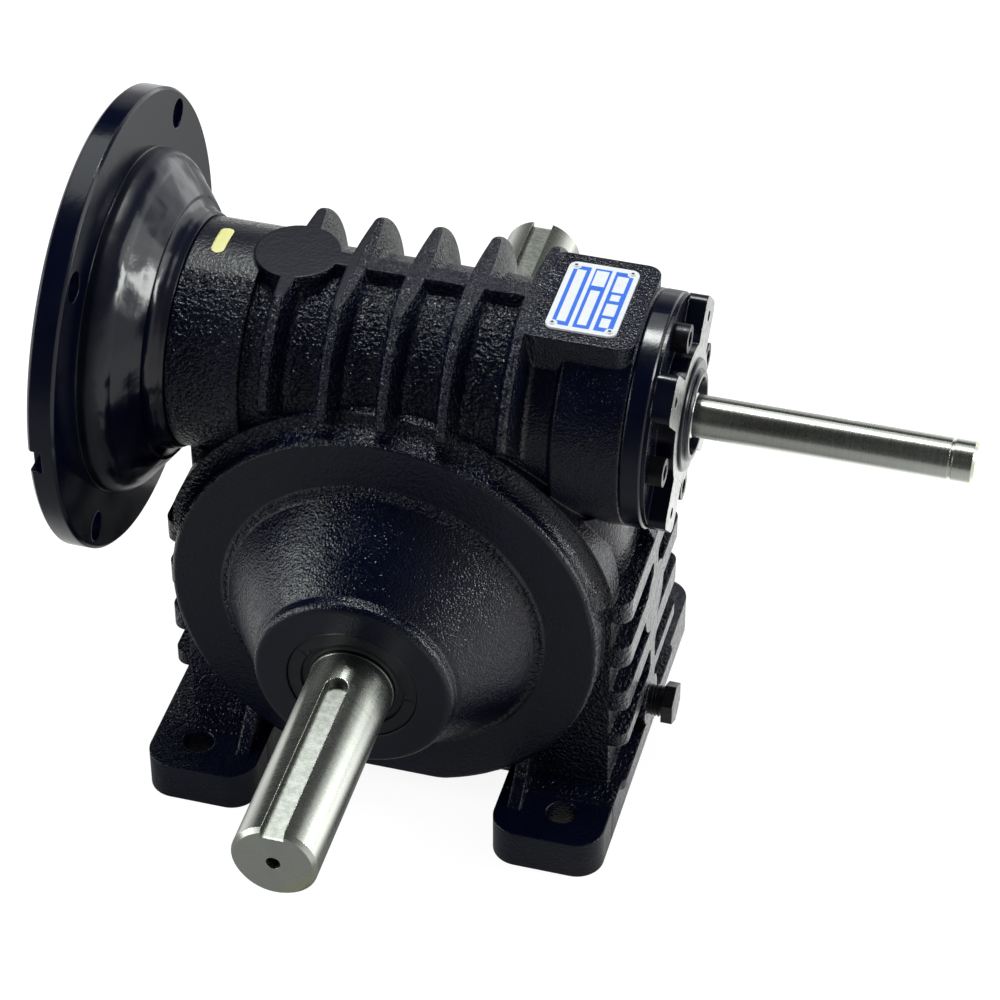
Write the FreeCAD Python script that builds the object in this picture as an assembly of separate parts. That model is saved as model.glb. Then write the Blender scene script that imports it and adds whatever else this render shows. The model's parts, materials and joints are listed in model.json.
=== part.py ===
import FreeCAD, Part
import math
import os

# Gear reducer: worm on top along X, output shaft below along Y, feet on the ground plane, Z up.
# The origin is the middle of the foot holes on the ground plane. Sizes are in millimetres.
os.makedirs("parts", exist_ok=True)
V = FreeCAD.Vector
X_AXIS, Y_AXIS, Z_AXIS = V(1, 0, 0), V(0, 1, 0), V(0, 0, 1)
QUARTERS = (0, 90, 180, 270)
DIAGONALS = (45, 135, 225, 315)

# How far a cut reaches past a face, and how far fused pieces reach into each other
PAST = 1.0
BITE = 5.0

# Gear pair
MODULE = 4.0
WHEEL_TEETH = 30
CENTRES = 74.0
PRESSURE_ANGLE = 20.0
THREAD_PLAY = 0.9
TIP_CLEARANCE = 1.0
WORM_HALF = 27.0
WHEEL_PITCH_R = MODULE * WHEEL_TEETH / 2
WORM_PITCH_R = CENTRES - WHEEL_PITCH_R
WORM_TIP_R = WORM_PITCH_R + MODULE
WORM_ROOT_R = WORM_PITCH_R - 1.2 * MODULE
WHEEL_TIP_R = WHEEL_PITCH_R + MODULE
WHEEL_ROOT_R = WHEEL_PITCH_R - MODULE - TIP_CLEARANCE
LEAD = math.pi * MODULE
LEAD_ANGLE = math.atan(MODULE / (2 * WORM_PITCH_R))

# Heights of the two axes
OUT_H = 86.0
WORM_H = OUT_H + CENTRES

# Clearances and fits
SHAFT_FIT = 0.05
LIP_GAP = 0.05
BALL_GAP = 0.05
BOLT_GAP = 0.3
WHEEL_ROOM = 2.0
WORM_ROOM = 6.0

# Output shaft
SHAFT_END = 173.0
SHAFT_R = 15.0
SEAT_R = SHAFT_R + 2.5
WHEEL_SEAT_R = SEAT_R + 2.5
SEAT_OUT = 80.0
SEAT_BEVEL = 1.0
DUST_LAND_R = SHAFT_R + 0.4
SHAFT_BEVEL = 1.5
CENTRE_HOLE_R = 2.5
CENTRE_HOLE_L = 16.0
KEYWAY_W = 8.0
KEYWAY_D = 4.0
KEYWAY_IN = 98.0
WHEEL_KEY_W = 12.0
WHEEL_KEY_H = 8.0
WHEEL_KEY_L = 36.0
WHEEL_KEY_SUNK = 0.6

# Worm wheel: bronze rim on an iron hub
RIM_HALF = 13.0
RIM_BEVEL = 2.5
RIM_FLAT_R = WHEEL_TIP_R + 2.5
RIM_IN_R = WHEEL_ROOT_R - 7.0
TOOTH_STEPS = (-1.2, 1.6)
TOOTH_OVER = 2.6
HUB_HALF = 20.0
HUB_TAPER = 3.0
WHEEL_HUB_R = WHEEL_SEAT_R + 14.0
WEB_HALF = 8.0
RIM_LEDGE = 4.0
RIM_LEDGE_SLOPE = 2.0
SPACER_T = 4.5

# Bearings: outer radius, ball radius and number of balls; the cage is a part of the ball radius
OUT_BRG_R = 36.0
OUT_BRG_IN = 49.0
OUT_BRG_W = 17.0
OUT_BALL_R = 5.5
OUT_BALLS = 9
MOT_BRG_R = 31.0
MOT_BRG_X0 = -72.0
MOT_BRG_W = 16.0
MOT_BALL_R = 4.7
MOT_BALLS = 9
INP_BRG_R = 26.0
INP_BRG_X0 = 62.0
INP_BRG_W = 15.0
INP_BALL_R = 4.7
INP_BALLS = 8
CAGE_T = 0.3
CAGE_W = 0.75
RACE_LAND = 0.55
RACE_OUT_BEVEL = 0.8
RACE_IN_BEVEL = 0.6
OUT_BRG_OUT = OUT_BRG_IN + OUT_BRG_W
MOT_BRG_X1 = MOT_BRG_X0 + MOT_BRG_W
INP_BRG_X1 = INP_BRG_X0 + INP_BRG_W

# Drum for the wheel, with its turned front ring, cast cone and hub
CAVITY_R = RIM_FLAT_R + WHEEL_ROOM
DRUM_R = CAVITY_R + 9.5
DRUM_FACE = 49.6
DRUM_EDGE = 2.0
RING_IN_R = 59.3
RING_EDGE = 0.8
CONE_R = 57.0
CONE_TOP_R = 37.5
CONE_TOP = 79.0
HUB_R = 36.0
HUB_FACE = 86.0
HUB_EDGE = 3.0
HUB_STEP = 1.5
DRUM_FLAT_Z = 12.0
CAVITY_FRONT = 36.0
CAVITY_NECK_R = 62.0
CAVITY_NECK = 44.0
OUT_SEAL_R = SEAT_R + 6.0
OUT_SEAL_IN = HUB_FACE - 10.0
SEAL_SINK = 0.6
SEAT_LEAD = 1.0
SEAT_STOP = 6.0
SEAT_STOP_SLOPE = 3.0

# Section of the oil seals: steps along the axis, and walls above the lips
SEAL_EDGE = 0.4
SEAL_LAND = 1.2
SEAL_CASE = 3.2
SEAL_CASE_SLOPE = 0.4
SEAL_BACK = 0.2
DUST_TIP = 0.6
DUST_TIP_END = 2.0
DUST_ROOT = 3.6
DUST_WALL = 1.0
MAIN_ROOT = 1.6
MAIN_WALL = 1.4
MAIN_CASE = 3.4

# Body under the barrel
BODY_XR = 87.0
BODY_XL = -83.5
BODY_HALF = 39.5
BODY_ROUND = 5.0
BODY_FLOOR_Z = DRUM_FLAT_Z
SHELF_Z = OUT_H + 17.0
SHOULDER_XR = 81.0
SHOULDER_XL = -79.0
SHOULDER_HALF = BODY_HALF - 3.5
SHOULDER_ROUND = 20.0
SHOULDER_Z = OUT_H + 48.0
RIB_PITCH = 21.0
RIB_COUNT = 4
RIB_T = 9.0
LOW_RIB_T = 5.5
POCKET_DEPTH = 6.5
POCKET_ROUND = 3.0
SPINE_W = 6.6
SPINE_RISE = 12.0
SIDE_BOSS_R = 13.5
SIDE_BOSS_Z = 74.0

# Screwed cover at the back, with the housing flange that carries it
COVER_PLANE = BODY_HALF + 1.5
COVER_RIM_R = CAVITY_R + 15.5
COVER_RIM_L = 14.0
COVER_INSET = 0.6
COVER_SPIGOT = 4.0
COVER_SPIGOT_T = 6.0
COVER_GAP = 0.6
GASKET_T = 0.5
BACK_SCREW_SPREAD = (20.0, 60.0)
BACK_SCREW_CIRCLE = (CAVITY_R + COVER_RIM_R) / 2
BACK_SCREW_R = 3.0
BACK_SCREW_AF = 10.0
BACK_HEAD = 4.0
BACK_IN = 12.0

# Worm barrel
BARREL_L = -79.4
BARREL_RT = 81.7
TUNNEL_R = WORM_TIP_R + WORM_ROOM
FLOOR_R = TUNNEL_R + 13.6
BAND_R = FLOOR_R + 3.2
BAND_END = -53.0
END_R = FLOOR_R + 3.8
END_START = 58.0
END_SLOPE = 2.0
EDGE_BREAK = 0.5
FIN_R = FLOOR_R + 11.9
FIN_FOOT = 8.6
FIN_TIP = 3.6
FIN_FILLET = 2.5
FIN_PITCH = 21.0
FIN_FIRST = -41.5
FIN_COUNT = 5
FIN_LOW = WORM_H - 1.0
FIN_ROOM = 4.0
TOP_Z = WORM_H + 42.0
RIDGE_W = 7.0
TOP_BITE = 4.0
BOSS_R = 14.9
BOSS_X = -42.4
PAD_X0 = 42.0
PAD_X1 = 81.0
PAD_HALF = 24.0
PAD_ROUND = 5.5

# Cast fillet where the drum runs into the barrel
FLARE_R = 5.5
FLARE_Y = BAND_R - 0.3
FLARE_L = 12.0

# Worm shaft
HOLLOW_R = 15.0
HOLLOW_END = -96.0
BORE_R = 7.94
BORE_END = -46.0
BORE_KEY_W = 4.8
BORE_KEY_D = 2.3
SHOULDER_R = 18.0
WORM_RUN_OUT = 3.0
WORM_TAPER_L = 10.0
WORM_TAPER_R = 6.0
INP_SEAT_R = 10.0
INP_SHOULDER_R = 13.5
EXT_R = 7.5
EXT_START = 99.0
EXT_SEAL_R = EXT_R + 0.5
EXT_SEAL_START = 82.0
EXT_END = 196.0
EXT_BEVEL = 1.0
GROOVE_X = 187.2
GROOVE_W = 1.1
GROOVE_D = 0.55
CROSS_HOLE_X = 152.0
CROSS_HOLE_R = 2.2
CROSS_HOLE_D = 3.0
SNAP_GAP = 0.1
SNAP_T = 1.5
SNAP_H = 2.5
SNAP_SLOT = 6.0

# Motor flange and bell
FLANGE_R = 82.55
FLANGE_T = 9.7
FLANGE_X = -113.2
FLANGE_BEVEL = 1.0
PILOT_R = 57.15
PILOT_D = 5.0
BOLT_CIRCLE_R = 74.6
FLANGE_HOLE_R = 5.35
NOTCH_W = 9.0
NOTCH_DROP = 1.0
NOTCH_DEEP = 4.7
NOTCH_IN = 5.0
BELL_WALL_X = -86.0
BELL_FOOT_R = 61.5
BELL_CONE_R = 51.0
BELL_STEP_X = 18.0
BELL_STEP_R = 47.2
BELL_STEP = 1.2
BELL_NECK_R = 41.6
BELL_CAVITY_R = 52.0
BELL_THROAT_R = 42.0
BELL_SEAL_R = 23.5
BELL_SPIGOT = 3.5
BELL_SCREW_CIRCLE = 36.2
BELL_SCREW_R = 2.5
BELL_HEAD_R = 4.2
BELL_HEAD = 5.0
BELL_IN = 10.0

# Disc and end cover at the input end
DISC_R = END_R
DISC_END = 89.2
DISC_BEVEL = 0.7
DISC_GAP = 1.2
COVER_END = 97.0
COVER_SEAT = 90.6
LOBE_R = DISC_R - 0.6
LOBE_HALF = 8.7
LOBE_ROUND = 3.6
CORE_R = 25.0
NOSE_R = 19.8
NOSE_X = 98.3
RIM_R = 16.0
RIM_X = 99.8
RIM_EDGE = 0.7
INP_SEAL_R = 13.0
INP_SEAL_X0 = 90.0
INP_SEAL_X1 = 97.0
COVER_SCREW_CIRCLE = 32.5
COVER_SCREW_R = 3.0
COVER_HEAD_R = 5.0
COVER_HEAD = 5.2
COVER_IN = 12.0
TAP_R = 2.0
TAP_D = 5.0
TAP_CIRCLE = 34.5

# Feet
FOOT_X = 85.5
FOOT_IN = 44.6
FOOT_Y = 73.5
FOOT_T = 15.8
FOOT_ROUND = 10.0
FOOT_HOLE_X = 68.5
FOOT_HOLE_Y = 58.5
FOOT_HOLE_R = 5.5
GUSSET_X = 51.2
GUSSET_T = 4.6
GUSSET_TOP = 52.0
GUSSET_END = 10.0

# Plugs
PLUG_Z = 22.8
PLUG_R = 5.5
PLUG_AF = 14.0
PLUG_HEAD = 4.2
PLUG_NECK = 5.3
PLUG_IN = 8.0
PLUG_BOSS_R = 9.5
PLUG_DRILL = 20.0
FILL_X = 68.0
FILL_R = 6.6
FILL_BOSS_R = 10.0
FILL_BOSS = 4.0
FILL_IN = 9.0
FILL_SINK = 0.5
FILL_HEX = 7.0
FILL_HEX_D = 4.5

# Name plate
PLATE_X = 61.8
PLATE_W = 24.6
PLATE_L = 37.6
PLATE_T = 0.8
PLATE_ROUND = 3.0
RIVET_R = 1.0
RIVET_T = 0.5
RIVET_IN = 2.4


def cyl(axis, r, a, b, c1=0.0, c2=0.0):
    """Cylinder along an axis from a to b; c1, c2 are the two other coordinates in order."""
    lo, hi = min(a, b), max(a, b)
    if axis == "x":
        return Part.makeCylinder(r, hi - lo, V(lo, c1, c2), X_AXIS)
    if axis == "y":
        return Part.makeCylinder(r, hi - lo, V(c1, lo, c2), Y_AXIS)
    return Part.makeCylinder(r, hi - lo, V(c1, c2, lo), Z_AXIS)


def box(x0, x1, y0, y1, z0, z1):
    return Part.makeBox(x1 - x0, y1 - y0, z1 - z0, V(x0, y0, z0))


def bend(before, corner, after, r):
    """Rounds a corner of a profile: the arc's start, then its middle and end as one item."""
    ways = []
    for p in (before, after):
        reach = math.dist(p, corner)
        ways.append(((p[0] - corner[0]) / reach, (p[1] - corner[1]) / reach))
    half = math.acos(max(-1.0, min(1.0, ways[0][0] * ways[1][0] + ways[0][1] * ways[1][1]))) / 2
    t = r / math.tan(half)
    out = [(corner[0] + t * w[0], corner[1] + t * w[1]) for w in ways]
    sink = (r / math.sin(half) - r) / (2 * math.cos(half))
    mid = (corner[0] + sink * (ways[0][0] + ways[1][0]), corner[1] + sink * (ways[0][1] + ways[1][1]))
    return [out[0], (mid, out[1])]


def frame_items(a0, a1, b0, b1, r):
    """Rectangle with rounded corners as profile items."""
    corners = [(a0, b0), (a1, b0), (a1, b1), (a0, b1)]
    items = []
    for k in range(4):
        items += bend(corners[k - 1], corners[k], corners[(k + 1) % 4], r)
    return items


def wire_of(items, place):
    """Closed wire from (a, r) points; an item of two points is the middle and end of an arc."""
    edges = []
    first = items[0]
    last = first
    for item in items[1:]:
        if isinstance(item[0], tuple):
            mid, end = item
            edges.append(Part.Arc(place(last), place(mid), place(end)).toShape())
            last = end
        else:
            edges.append(Part.makeLine(place(last), place(item)))
            last = item
    if math.dist(last, first) > 1e-6:
        edges.append(Part.makeLine(place(last), place(first)))
    return Part.Wire(edges)


def turned(axis, items, height):
    """Solid of revolution about the X or Y axis at a height, from (axial, radius) points."""
    if axis == "x":
        wire = wire_of(items, lambda p: V(p[0], 0, height + p[1]))
        return Part.Face(wire).revolve(V(0, 0, height), X_AXIS, 360)
    wire = wire_of(items, lambda p: V(0, p[0], height + p[1]))
    return Part.Face(wire).revolve(V(0, 0, height), Y_AXIS, 360)


def rounded(x0, x1, y0, y1, z0, z1, r):
    """Upright block with rounded vertical edges."""
    face = Part.Face(wire_of(frame_items(x0, x1, y0, y1, r), lambda p: V(p[0], p[1], z0)))
    return face.extrude(V(0, 0, z1 - z0))


def side_block(x0, x1, y0, y1, z0, z1, r):
    """Block with rounded edges that lie along X."""
    face = Part.Face(wire_of(frame_items(y0, y1, z0, z1, r), lambda p: V(x0, p[0], p[1])))
    return face.extrude(V(x1 - x0, 0, 0))


def hexagon(axis, across, a, b, c1, c2):
    """Hexagonal prism along an axis."""
    r = across / math.sqrt(3)
    lo, hi = min(a, b), max(a, b)
    turns = [math.radians(60 * k + 30) for k in range(6)]
    ring = [(r * math.cos(t), r * math.sin(t)) for t in turns]
    if axis == "x":
        face = Part.Face(wire_of(ring, lambda p: V(lo, c1 + p[0], c2 + p[1])))
        return face.extrude(V(hi - lo, 0, 0))
    face = Part.Face(wire_of(ring, lambda p: V(c1 + p[0], lo, c2 + p[1])))
    return face.extrude(V(0, hi - lo, 0))


def fuse(first, *others):
    return first.multiFuse(list(others)).removeSplitter() if others else first


def cut(first, *others):
    return first.cut(Part.makeCompound(list(others))) if others else first


def around(radius, angle, height):
    """Two free coordinates of a point on a circle about the X or Y axis."""
    a = math.radians(angle)
    return radius * math.cos(a), height + radius * math.sin(a)


def fin_ring(x):
    """One cooling fin around the barrel, with a rounded tip and a cast fillet at its foot."""
    half, tip = FIN_FOOT / 2, FIN_TIP / 2
    base = FLOOR_R - PAST
    left, right = (x - half, FLOOR_R), (x + half, FLOOR_R)
    up_left, up_right = (x - tip, FIN_R - tip), (x + tip, FIN_R - tip)
    items = [(x - FIN_FOOT, base)]
    items += bend((x - FIN_FOOT, FLOOR_R), left, up_left, FIN_FILLET)
    items += [up_left, ((x, FIN_R), up_right)]
    items += bend(up_right, right, (x + FIN_FOOT, FLOOR_R), FIN_FILLET)
    items.append((x + FIN_FOOT, base))
    return cut(turned("x", items, WORM_H), fin_run_out(x, -1), fin_run_out(x, 1))


def fin_run_out(x, side):
    """Wedge that lets a fin fade out down one side of the barrel."""
    wide = FIN_FOOT + PAST
    out, low = FIN_R + FIN_ROOM, WORM_H - FIN_R - FIN_ROOM
    rise = out - FLOOR_R
    pts = [(0, low), (0, FIN_LOW), (side * FLOOR_R, FIN_LOW), (side * out, FIN_LOW + rise),
           (side * out, low)]
    face = Part.Face(wire_of(pts, lambda p: V(x - wide, p[0], p[1])))
    return face.extrude(V(2 * wide, 0, 0))


def barrel_body():
    e = EDGE_BREAK
    shell = turned("x", [
        (BARREL_L, 0), (BARREL_L, BAND_R - e), (BARREL_L + e, BAND_R), (BAND_END, BAND_R),
        (BAND_END, FLOOR_R),
        (END_START - END_SLOPE, FLOOR_R), (END_START, END_R), (BARREL_RT - e, END_R), (BARREL_RT, END_R - e),
        (BARREL_RT, 0),
    ], WORM_H)
    fins = [fin_ring(FIN_FIRST + FIN_PITCH * k) for k in range(FIN_COUNT)]
    low = WORM_H + TUNNEL_R + TOP_BITE
    ridge = box(BAND_END - TOP_BITE, PAD_X0 + TOP_BITE, -RIDGE_W / 2, RIDGE_W / 2, low, TOP_Z)
    boss = cyl("z", BOSS_R, low, TOP_Z, BOSS_X, 0)
    pad = rounded(PAD_X0, PAD_X1, -PAD_HALF, PAD_HALF, low, TOP_Z, PAD_ROUND)
    fill = cyl("y", FILL_BOSS_R, END_R - FILL_IN, END_R + FILL_BOSS, FILL_X, WORM_H)
    top = box(BARREL_L - PAST, BARREL_RT + PAST, -FIN_R - PAST, FIN_R + PAST, TOP_Z, TOP_Z + FIN_R)
    return cut(fuse(shell, *fins, ridge, boss, pad, fill), top)


def cone_items(sign):
    """Front ring, cone and hub of the drum or of its cover, out to the hub's outer edge."""
    ring_out = (sign * DRUM_FACE, RING_IN_R)
    foot = sign * (DRUM_FACE + RING_EDGE)
    step, hub_end = (sign * (CONE_TOP + HUB_STEP), HUB_R), (sign * HUB_FACE, HUB_R)
    items = [ring_out, (foot, RING_IN_R - RING_EDGE), (foot, CONE_R), (sign * CONE_TOP, CONE_TOP_R), step]
    return items + bend(step, hub_end, (hub_end[0], 0), HUB_EDGE)


def drum_body():
    start = COVER_PLANE - COVER_RIM_L
    corner = (-DRUM_FACE, DRUM_R)
    items = [(COVER_PLANE, 0), (COVER_PLANE, COVER_RIM_R), (start, COVER_RIM_R), (start, DRUM_R)]
    items += bend((start, DRUM_R), corner, (-DRUM_FACE, RING_IN_R), DRUM_EDGE)
    items += cone_items(-1) + [(-HUB_FACE, 0)]
    wide = COVER_RIM_R + PAST
    keep = box(-wide, wide, -HUB_FACE - PAST, COVER_PLANE + PAST, DRUM_FLAT_Z, OUT_H + wide)
    return turned("y", items, OUT_H).common(keep)


def drum_flare():
    """Cast fillet between the drum and the barrel, only above the shelf."""
    near, far = -FLARE_Y - FLARE_R, -FLARE_Y + FLARE_L
    top, base = DRUM_R + FLARE_R, DRUM_R - BITE
    items = [(near, base)] + bend((near - FLARE_R, DRUM_R), (-FLARE_Y, DRUM_R), (-FLARE_Y, top), FLARE_R)
    items += [(far, top), (far, base)]
    keep = rounded(SHOULDER_XL, SHOULDER_XR, near - PAST, far + PAST, SHELF_Z - PAST, OUT_H + top + PAST,
                   FLARE_R)
    return turned("y", items, OUT_H).common(keep)


def rib_pockets(side):
    """Pockets between the side ribs, open to the front and back, on both sides of the spine."""
    plane = BODY_XR if side > 0 else BODY_XL
    x0, x1 = sorted((plane - side * POCKET_DEPTH, plane + side * BITE))
    out = BODY_HALF + BITE
    cuts = []
    for k in range(RIB_COUNT):
        lowest = k == RIB_COUNT - 1
        top = SHELF_Z - RIB_PITCH * k - (LOW_RIB_T if lowest else RIB_T)
        low = FOOT_T if lowest else SHELF_Z - RIB_PITCH * (k + 1)
        for y0, y1 in ((-out, -SPINE_W / 2), (SPINE_W / 2, out)):
            cuts.append(side_block(x0, x1, y0, y1, low, top, POCKET_ROUND))
    return cuts


def shelf_web():
    """Sloped end of the spine above the shelf."""
    x0, z0 = BODY_XR - POCKET_DEPTH - BITE, SHELF_Z - BITE
    high = SHELF_Z + SPINE_RISE
    pts = [(x0, z0), (BODY_XR, z0), (BODY_XR, SHELF_Z), (SHOULDER_XR, high), (x0, high)]
    face = Part.Face(wire_of(pts, lambda p: V(p[0], -SPINE_W / 2, p[1])))
    return face.extrude(V(0, SPINE_W, 0))


def lower_body():
    body = rounded(BODY_XL, BODY_XR, -BODY_HALF, BODY_HALF, BODY_FLOOR_Z, SHELF_Z, BODY_ROUND)
    upper = rounded(SHOULDER_XL, SHOULDER_XR, -SHOULDER_HALF, SHOULDER_HALF, SHELF_Z - BITE, SHOULDER_Z,
                    SHOULDER_ROUND)
    inside = BODY_XR - POCKET_DEPTH - BITE
    plug_boss = cyl("x", PLUG_BOSS_R, inside, BODY_XR, 0, PLUG_Z)
    side_boss = cyl("x", SIDE_BOSS_R, inside, BODY_XR, 0, SIDE_BOSS_Z)
    return fuse(cut(body, *rib_pockets(1), *rib_pockets(-1)), upper, shelf_web(), plug_boss, side_boss)


def foot_rail(side):
    x0, x1 = sorted((side * FOOT_IN, side * FOOT_X))
    rail = rounded(x0, x1, -FOOT_Y, FOOT_Y, 0, FOOT_T, FOOT_ROUND)
    return fuse(rail, gusset(side, -1), gusset(side, 1))


def gusset(side, end):
    """Curved rib from the drum down to a foot."""
    y0, y1 = end * (BODY_HALF - BITE), end * (FOOT_Y - GUSSET_END)
    top = FOOT_T - PAST
    mid = (y0 + (y1 - y0) * 0.45, top + (GUSSET_TOP - FOOT_T) * 0.34)
    pts = [(y0, FOOT_T - BITE), (y0, GUSSET_TOP), (mid, (y1, top)), (y1, FOOT_T - BITE)]
    x0 = side * GUSSET_X - GUSSET_T / 2
    return Part.Face(wire_of(pts, lambda p: V(x0, p[0], p[1]))).extrude(V(GUSSET_T, 0, 0))


def foot_holes():
    spots = [(sx * FOOT_HOLE_X, sy * FOOT_HOLE_Y) for sx in (-1, 1) for sy in (-1, 1)]
    return [cyl("z", FOOT_HOLE_R, -PAST, FOOT_T + BITE, x, y) for x, y in spots]


def output_seats(sign):
    """Bearing seat and seal seat of the output shaft, from the wheel's room outwards."""
    start, stop_r = OUT_BRG_IN - SEAT_LEAD, OUT_BRG_R - SEAT_STOP
    return [
        (sign * CAVITY_NECK, OUT_BRG_R + SEAT_STOP), (sign * (start - SEAT_LEAD), OUT_BRG_R + SEAT_LEAD),
        (sign * start, OUT_BRG_R), (sign * OUT_BRG_OUT, OUT_BRG_R),
        (sign * OUT_BRG_OUT, stop_r), (sign * OUT_SEAL_IN, stop_r - SEAT_STOP_SLOPE),
        (sign * OUT_SEAL_IN, OUT_SEAL_R),
    ]


def wheel_room():
    """Hollow for the wheel, with the front bearing seat and seal seat."""
    items = [
        (COVER_PLANE + PAST, 0), (COVER_PLANE + PAST, CAVITY_R), (-CAVITY_FRONT, CAVITY_R),
        (-CAVITY_NECK, CAVITY_NECK_R),
    ]
    items += output_seats(-1) + [(-HUB_FACE - PAST, OUT_SEAL_R), (-HUB_FACE - PAST, 0)]
    return turned("y", items, OUT_H)


def worm_room():
    """Tunnel for the worm with both bearing seats."""
    step, ledge = 3.0, 2.0
    return turned("x", [
        (BARREL_L - PAST, 0), (BARREL_L - PAST, MOT_BRG_R), (MOT_BRG_X1, MOT_BRG_R),
        (MOT_BRG_X1, MOT_BRG_R - step), (MOT_BRG_X1 + step, TUNNEL_R), (INP_BRG_X0 - ledge, TUNNEL_R),
        (INP_BRG_X0 - ledge, INP_BRG_R - step), (INP_BRG_X0, INP_BRG_R - step), (INP_BRG_X0, INP_BRG_R),
        (BARREL_RT + PAST, INP_BRG_R), (BARREL_RT + PAST, 0),
    ], WORM_H)


def back_screw_angles():
    """Cover screws sit in pairs above and below the level of the output shaft, on both sides."""
    return [side + way * spread for side in (0, 180) for spread in BACK_SCREW_SPREAD for way in (-1, 1)]


def back_screw_holes(r, start, end):
    spots = [around(BACK_SCREW_CIRCLE, angle, OUT_H) for angle in back_screw_angles()]
    return [cyl("y", r, start, end, x, z) for x, z in spots]


def ring_holes(r, circle, angles, start, end):
    """Holes on a circle about the worm axis."""
    spots = [around(circle, angle, WORM_H) for angle in angles]
    return [cyl("x", r, start, end, y, z) for y, z in spots]


def housing():
    solid = fuse(lower_body(), drum_body(), drum_flare(), barrel_body(), foot_rail(1), foot_rail(-1))
    behind = cyl("y", COVER_RIM_R + COVER_GAP, COVER_PLANE, FOOT_Y + BITE, 0, OUT_H)
    holes = [wheel_room(), worm_room(), behind] + foot_holes()
    holes += back_screw_holes(BACK_SCREW_R, COVER_PLANE - BACK_IN, COVER_PLANE + PAST)
    holes += ring_holes(COVER_SCREW_R, COVER_SCREW_CIRCLE, QUARTERS, BARREL_RT - COVER_IN, BARREL_RT + PAST)
    holes += ring_holes(BELL_SCREW_R, BELL_SCREW_CIRCLE, DIAGONALS, BARREL_L - PAST, BARREL_L + BELL_IN)
    holes.append(cyl("x", PLUG_R, BODY_XR - PLUG_DRILL, BODY_XR + PAST, 0, PLUG_Z))
    holes.append(cyl("y", FILL_R, TUNNEL_R - BITE, END_R + FILL_BOSS + PAST, FILL_X, WORM_H))
    return cut(solid, *holes)


def bell_profile():
    """Bell between the round flange and the barrel: a shoulder, a cone and a flared neck."""
    f, step = FLANGE_X + FLANGE_T, BELL_STEP_X
    return [
        (f, BELL_FOOT_R), ((f + step * 0.31, BELL_FOOT_R - 0.9), (f + step * 0.58, BELL_FOOT_R - 5.3)),
        (f + step * 0.83, BELL_CONE_R), (f + step, BELL_STEP_R), (f + step, BELL_STEP_R - BELL_STEP),
        ((f + step + 2.2, BELL_NECK_R + 1.8), (BARREL_L - 1.0, BELL_NECK_R + 0.6)), (BARREL_L, BELL_NECK_R),
    ]


def motor_flange():
    b, f, spigot_r = FLANGE_BEVEL, FLANGE_X + FLANGE_T, MOT_BRG_R - SHAFT_FIT
    items = [
        (FLANGE_X, PILOT_R), (FLANGE_X, FLANGE_R - b), (FLANGE_X + b, FLANGE_R), (f - b, FLANGE_R),
        (f, FLANGE_R - b),
    ]
    items += bell_profile() + [
        (BARREL_L, spigot_r), (BARREL_L + BELL_SPIGOT, spigot_r), (BARREL_L + BELL_SPIGOT, BELL_SEAL_R),
        (BELL_WALL_X, BELL_SEAL_R), (BELL_WALL_X, BELL_THROAT_R), (f, BELL_CAVITY_R),
        (FLANGE_X + PILOT_D, BELL_CAVITY_R), (FLANGE_X + PILOT_D, PILOT_R),
    ]
    holes = ring_holes(FLANGE_HOLE_R, BOLT_CIRCLE_R, DIAGONALS, FLANGE_X - PAST, f + PAST)
    holes += ring_holes(BELL_SCREW_R + BOLT_GAP, BELL_SCREW_CIRCLE, DIAGONALS,
                        BELL_WALL_X - PAST, BARREL_L + BITE)
    middle = WORM_H - NOTCH_DROP
    notch = box(FLANGE_X - PAST, FLANGE_X + NOTCH_DEEP, -FLANGE_R - PAST, -FLANGE_R + NOTCH_IN,
                middle - NOTCH_W / 2, middle + NOTCH_W / 2)
    return cut(turned("x", items, WORM_H), notch, *holes)


def output_cover():
    start, rim, spigot = COVER_PLANE + GASKET_T, COVER_RIM_R - COVER_INSET, CAVITY_R - SHAFT_FIT
    inner = COVER_PLANE - COVER_SPIGOT
    items = [
        (inner, spigot), (start, spigot), (start, rim), (DRUM_FACE - EDGE_BREAK, rim),
        (DRUM_FACE, rim - EDGE_BREAK),
    ]
    items += cone_items(1) + [(HUB_FACE, OUT_SEAL_R)] + list(reversed(output_seats(1)))
    items += [(CAVITY_NECK, CAVITY_NECK_R), (inner, CAVITY_R - COVER_SPIGOT_T)]
    holes = back_screw_holes(BACK_SCREW_R + BOLT_GAP, COVER_PLANE - PAST, DRUM_FACE + PAST)
    keep = box(-COVER_RIM_R, COVER_RIM_R, 0, HUB_FACE + PAST, DRUM_FLAT_Z, OUT_H + COVER_RIM_R)
    return cut(turned("y", items, OUT_H), *holes).common(keep)


def cover_gasket():
    out, end = COVER_RIM_R - 2 * COVER_INSET, COVER_PLANE + GASKET_T
    ring = turned("y", [(COVER_PLANE, CAVITY_R), (COVER_PLANE, out), (end, out), (end, CAVITY_R)], OUT_H)
    holes = back_screw_holes(BACK_SCREW_R + BOLT_GAP, COVER_PLANE - PAST, end + PAST)
    keep = box(-COVER_RIM_R, COVER_RIM_R, 0, HUB_FACE, DRUM_FLAT_Z, OUT_H + COVER_RIM_R)
    return cut(ring, *holes).common(keep)


def bearing_disc():
    b, spigot = DISC_BEVEL, INP_BRG_R - SHAFT_FIT
    disc = turned("x", [
        (BARREL_RT, DISC_R - b), (BARREL_RT + b, DISC_R), (DISC_END - b, DISC_R), (DISC_END, DISC_R - b),
        (DISC_END, INP_SEAL_R), (BARREL_RT + PAST, INP_SEAL_R), (INP_BRG_X1, INP_BRG_R - 6.0),
        (INP_BRG_X1, spigot), (BARREL_RT, spigot),
    ], WORM_H)
    holes = ring_holes(COVER_SCREW_R + BOLT_GAP, COVER_SCREW_CIRCLE, QUARTERS, INP_BRG_X1, DISC_END + PAST)
    return cut(disc, *holes)


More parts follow.
